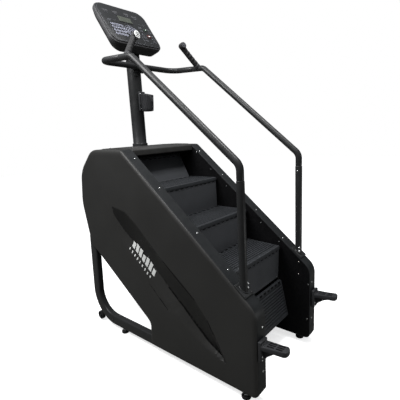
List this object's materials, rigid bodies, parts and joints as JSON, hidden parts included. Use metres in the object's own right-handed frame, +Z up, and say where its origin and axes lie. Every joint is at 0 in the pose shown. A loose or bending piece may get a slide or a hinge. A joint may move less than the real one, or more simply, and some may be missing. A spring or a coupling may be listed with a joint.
{
  "type": "stair climber",
  "caption": "Gym stair climber with a revolving staircase between side panels, inclined handrails, a mast with a tilted console and horn grips, a cup holder and transport wheels.",
  "frame": {"origin": "centre of the footprint on the floor", "axes": "+Z up; +Y the way the user faces while climbing, towards the console; +X to the right of the user"},
  "size_m": [0.736, 1.6, 2.2691],
  "materials": {
    "black_panel": "satin",
    "black_paint": "satin powder coat",
    "dark_plastic": "fine texture",
    "tread_plastic": "ribbed, matt",
    "rubber": "matt",
    "steel": "machined",
    "display_glass": "clear cover over a grey-green display",
    "pale_plastic": "satin",
    "red_plastic": "satin",
    "green_plastic": "satin"
  },
  "bodies": {
    "frame": {"left_side_panel": "black_panel", "right_side_panel": "black_panel", "top_cover": "black_panel", "rear_cover": "black_panel", "left_inner_wall": "black_paint", "right_inner_wall": "black_paint", "left_base_frame": "black_paint", "right_base_frame": "black_paint", "left_handrail": "black_paint", "right_handrail": "black_paint", "left_handrail_post": "black_paint", "right_handrail_post": "black_paint", "front_cross_member": "black_paint", "rear_cross_member": "black_paint", "upper_cross_beam": "black_paint", "mast": "black_paint", "handlebar": "black_paint", "console_housing": "black_paint", "left_foot_peg": "dark_plastic", "right_foot_peg": "dark_plastic", "cup_holder": "dark_plastic", "console_face": "dark_plastic", "brake_housing": "dark_plastic", "power_inlet": "dark_plastic", "left_horn_grip": "rubber", "right_horn_grip": "rubber", "left_front_foot": "rubber", "right_front_foot": "rubber", "left_rear_foot": "rubber", "right_rear_foot": "rubber", "left_chain": "steel", "right_chain": "steel", "display": "display_glass"},
    "drive": {"upper_shaft": "steel", "tread_1": "tread_plastic", "riser_1": "tread_plastic", "tread_9": "tread_plastic", "riser_9": "tread_plastic"},
    "idler": {"lower_shaft": "steel", "tread_5": "tread_plastic", "riser_5": "tread_plastic"},
    "flywheel": {"flywheel": "steel"},
    "left_wheel": {"left_wheel": "rubber"},
    "right_wheel": {"right_wheel": "rubber"},
    "start_key": {"start_key": "green_plastic"},
    "stop_key": {"stop_key": "red_plastic"},
    "left_grip_button": {"left_grip_button": "pale_plastic"},
    "right_grip_button": {"right_grip_button": "dark_plastic"},
    "step_2": {"tread_2": "tread_plastic", "riser_2": "tread_plastic"},
    "step_3": {"tread_3": "tread_plastic", "riser_3": "tread_plastic"},
    "step_4": {"tread_4": "tread_plastic", "riser_4": "tread_plastic"},
    "step_6": {"tread_6": "tread_plastic", "riser_6": "tread_plastic"},
    "step_7": {"tread_7": "tread_plastic", "riser_7": "tread_plastic"},
    "step_8": {"tread_8": "tread_plastic", "riser_8": "tread_plastic"}
  },
  "joints": [
    {"name": "stair_drive", "type": "hinge", "parent": "frame", "child": "drive", "pos_m": [0, 0.43594, 0.97729], "axis": [1, 0, 0], "range_deg": [-6, 6]},
    {"name": "lower_turn", "type": "hinge", "parent": "frame", "child": "idler", "pos_m": [0, -0.304, 0.352], "axis": [1, 0, 0], "range_deg": [-6, 6]},
    {"name": "flywheel_spin", "type": "hinge", "parent": "frame", "child": "flywheel", "pos_m": [0, 0.04735, 0.64891], "axis": [1, 0, 0], "range_deg": [-30, 30]},
    {"name": "step_2_travel", "type": "slide", "parent": "frame", "child": "step_2", "axis": [0, -0.7638, -0.6455], "range_m": [-0.01572, 0.01572]},
    {"name": "step_3_travel", "type": "slide", "parent": "frame", "child": "step_3", "axis": [0, -0.7638, -0.6455], "range_m": [-0.01572, 0.01572]},
    {"name": "step_4_travel", "type": "slide", "parent": "frame", "child": "step_4", "axis": [0, -0.7638, -0.6455], "range_m": [-0.01572, 0.01572]},
    {"name": "step_6_travel", "type": "slide", "parent": "frame", "child": "step_6", "axis": [0, 0.7638, 0.6455], "range_m": [-0.01572, 0.01572]},
    {"name": "step_7_travel", "type": "slide", "parent": "frame", "child": "step_7", "axis": [0, 0.7638, 0.6455], "range_m": [-0.01572, 0.01572]},
    {"name": "step_8_travel", "type": "slide", "parent": "frame", "child": "step_8", "axis": [0, 0.7638, 0.6455], "range_m": [-0.01572, 0.01572]},
    {"name": "left_wheel_spin", "type": "hinge", "parent": "frame", "child": "left_wheel", "pos_m": [-0.331, 0.754, 0.045], "axis": [1, 0, 0], "continuous": true},
    {"name": "right_wheel_spin", "type": "hinge", "parent": "frame", "child": "right_wheel", "pos_m": [0.331, 0.754, 0.045], "axis": [1, 0, 0], "continuous": true},
    {"name": "start_key_press", "type": "slide", "parent": "frame", "child": "start_key", "axis": [0, 0.8202, -0.5721], "range_m": [0, 0.0018], "stiffness_N_per_m": 700},
    {"name": "stop_key_press", "type": "slide", "parent": "frame", "child": "stop_key", "axis": [0, 0.8202, -0.5721], "range_m": [0, 0.0018], "stiffness_N_per_m": 700},
    {"name": "left_grip_button_press", "type": "slide", "parent": "frame", "child": "left_grip_button", "axis": [-0.1703, 0.9629, -0.2095], "range_m": [0, 0.0018], "stiffness_N_per_m": 600},
    {"name": "right_grip_button_press", "type": "slide", "parent": "frame", "child": "right_grip_button", "axis": [0.1703, 0.9629, -0.2095], "range_m": [0, 0.0018], "stiffness_N_per_m": 600}
  ],
  "couplings": [
    {"joint": "lower_turn", "follows": "stair_drive", "ratio": 1},
    {"joint": "flywheel_spin", "follows": "stair_drive", "ratio": 5},
    {"joint": "step_2_travel", "follows": "stair_drive", "m_per_rad": 0.15},
    {"joint": "step_3_travel", "follows": "stair_drive", "m_per_rad": 0.15},
    {"joint": "step_4_travel", "follows": "stair_drive", "m_per_rad": 0.15},
    {"joint": "step_6_travel", "follows": "stair_drive", "m_per_rad": 0.15},
    {"joint": "step_7_travel", "follows": "stair_drive", "m_per_rad": 0.15},
    {"joint": "step_8_travel", "follows": "stair_drive", "m_per_rad": 0.15}
  ]
}
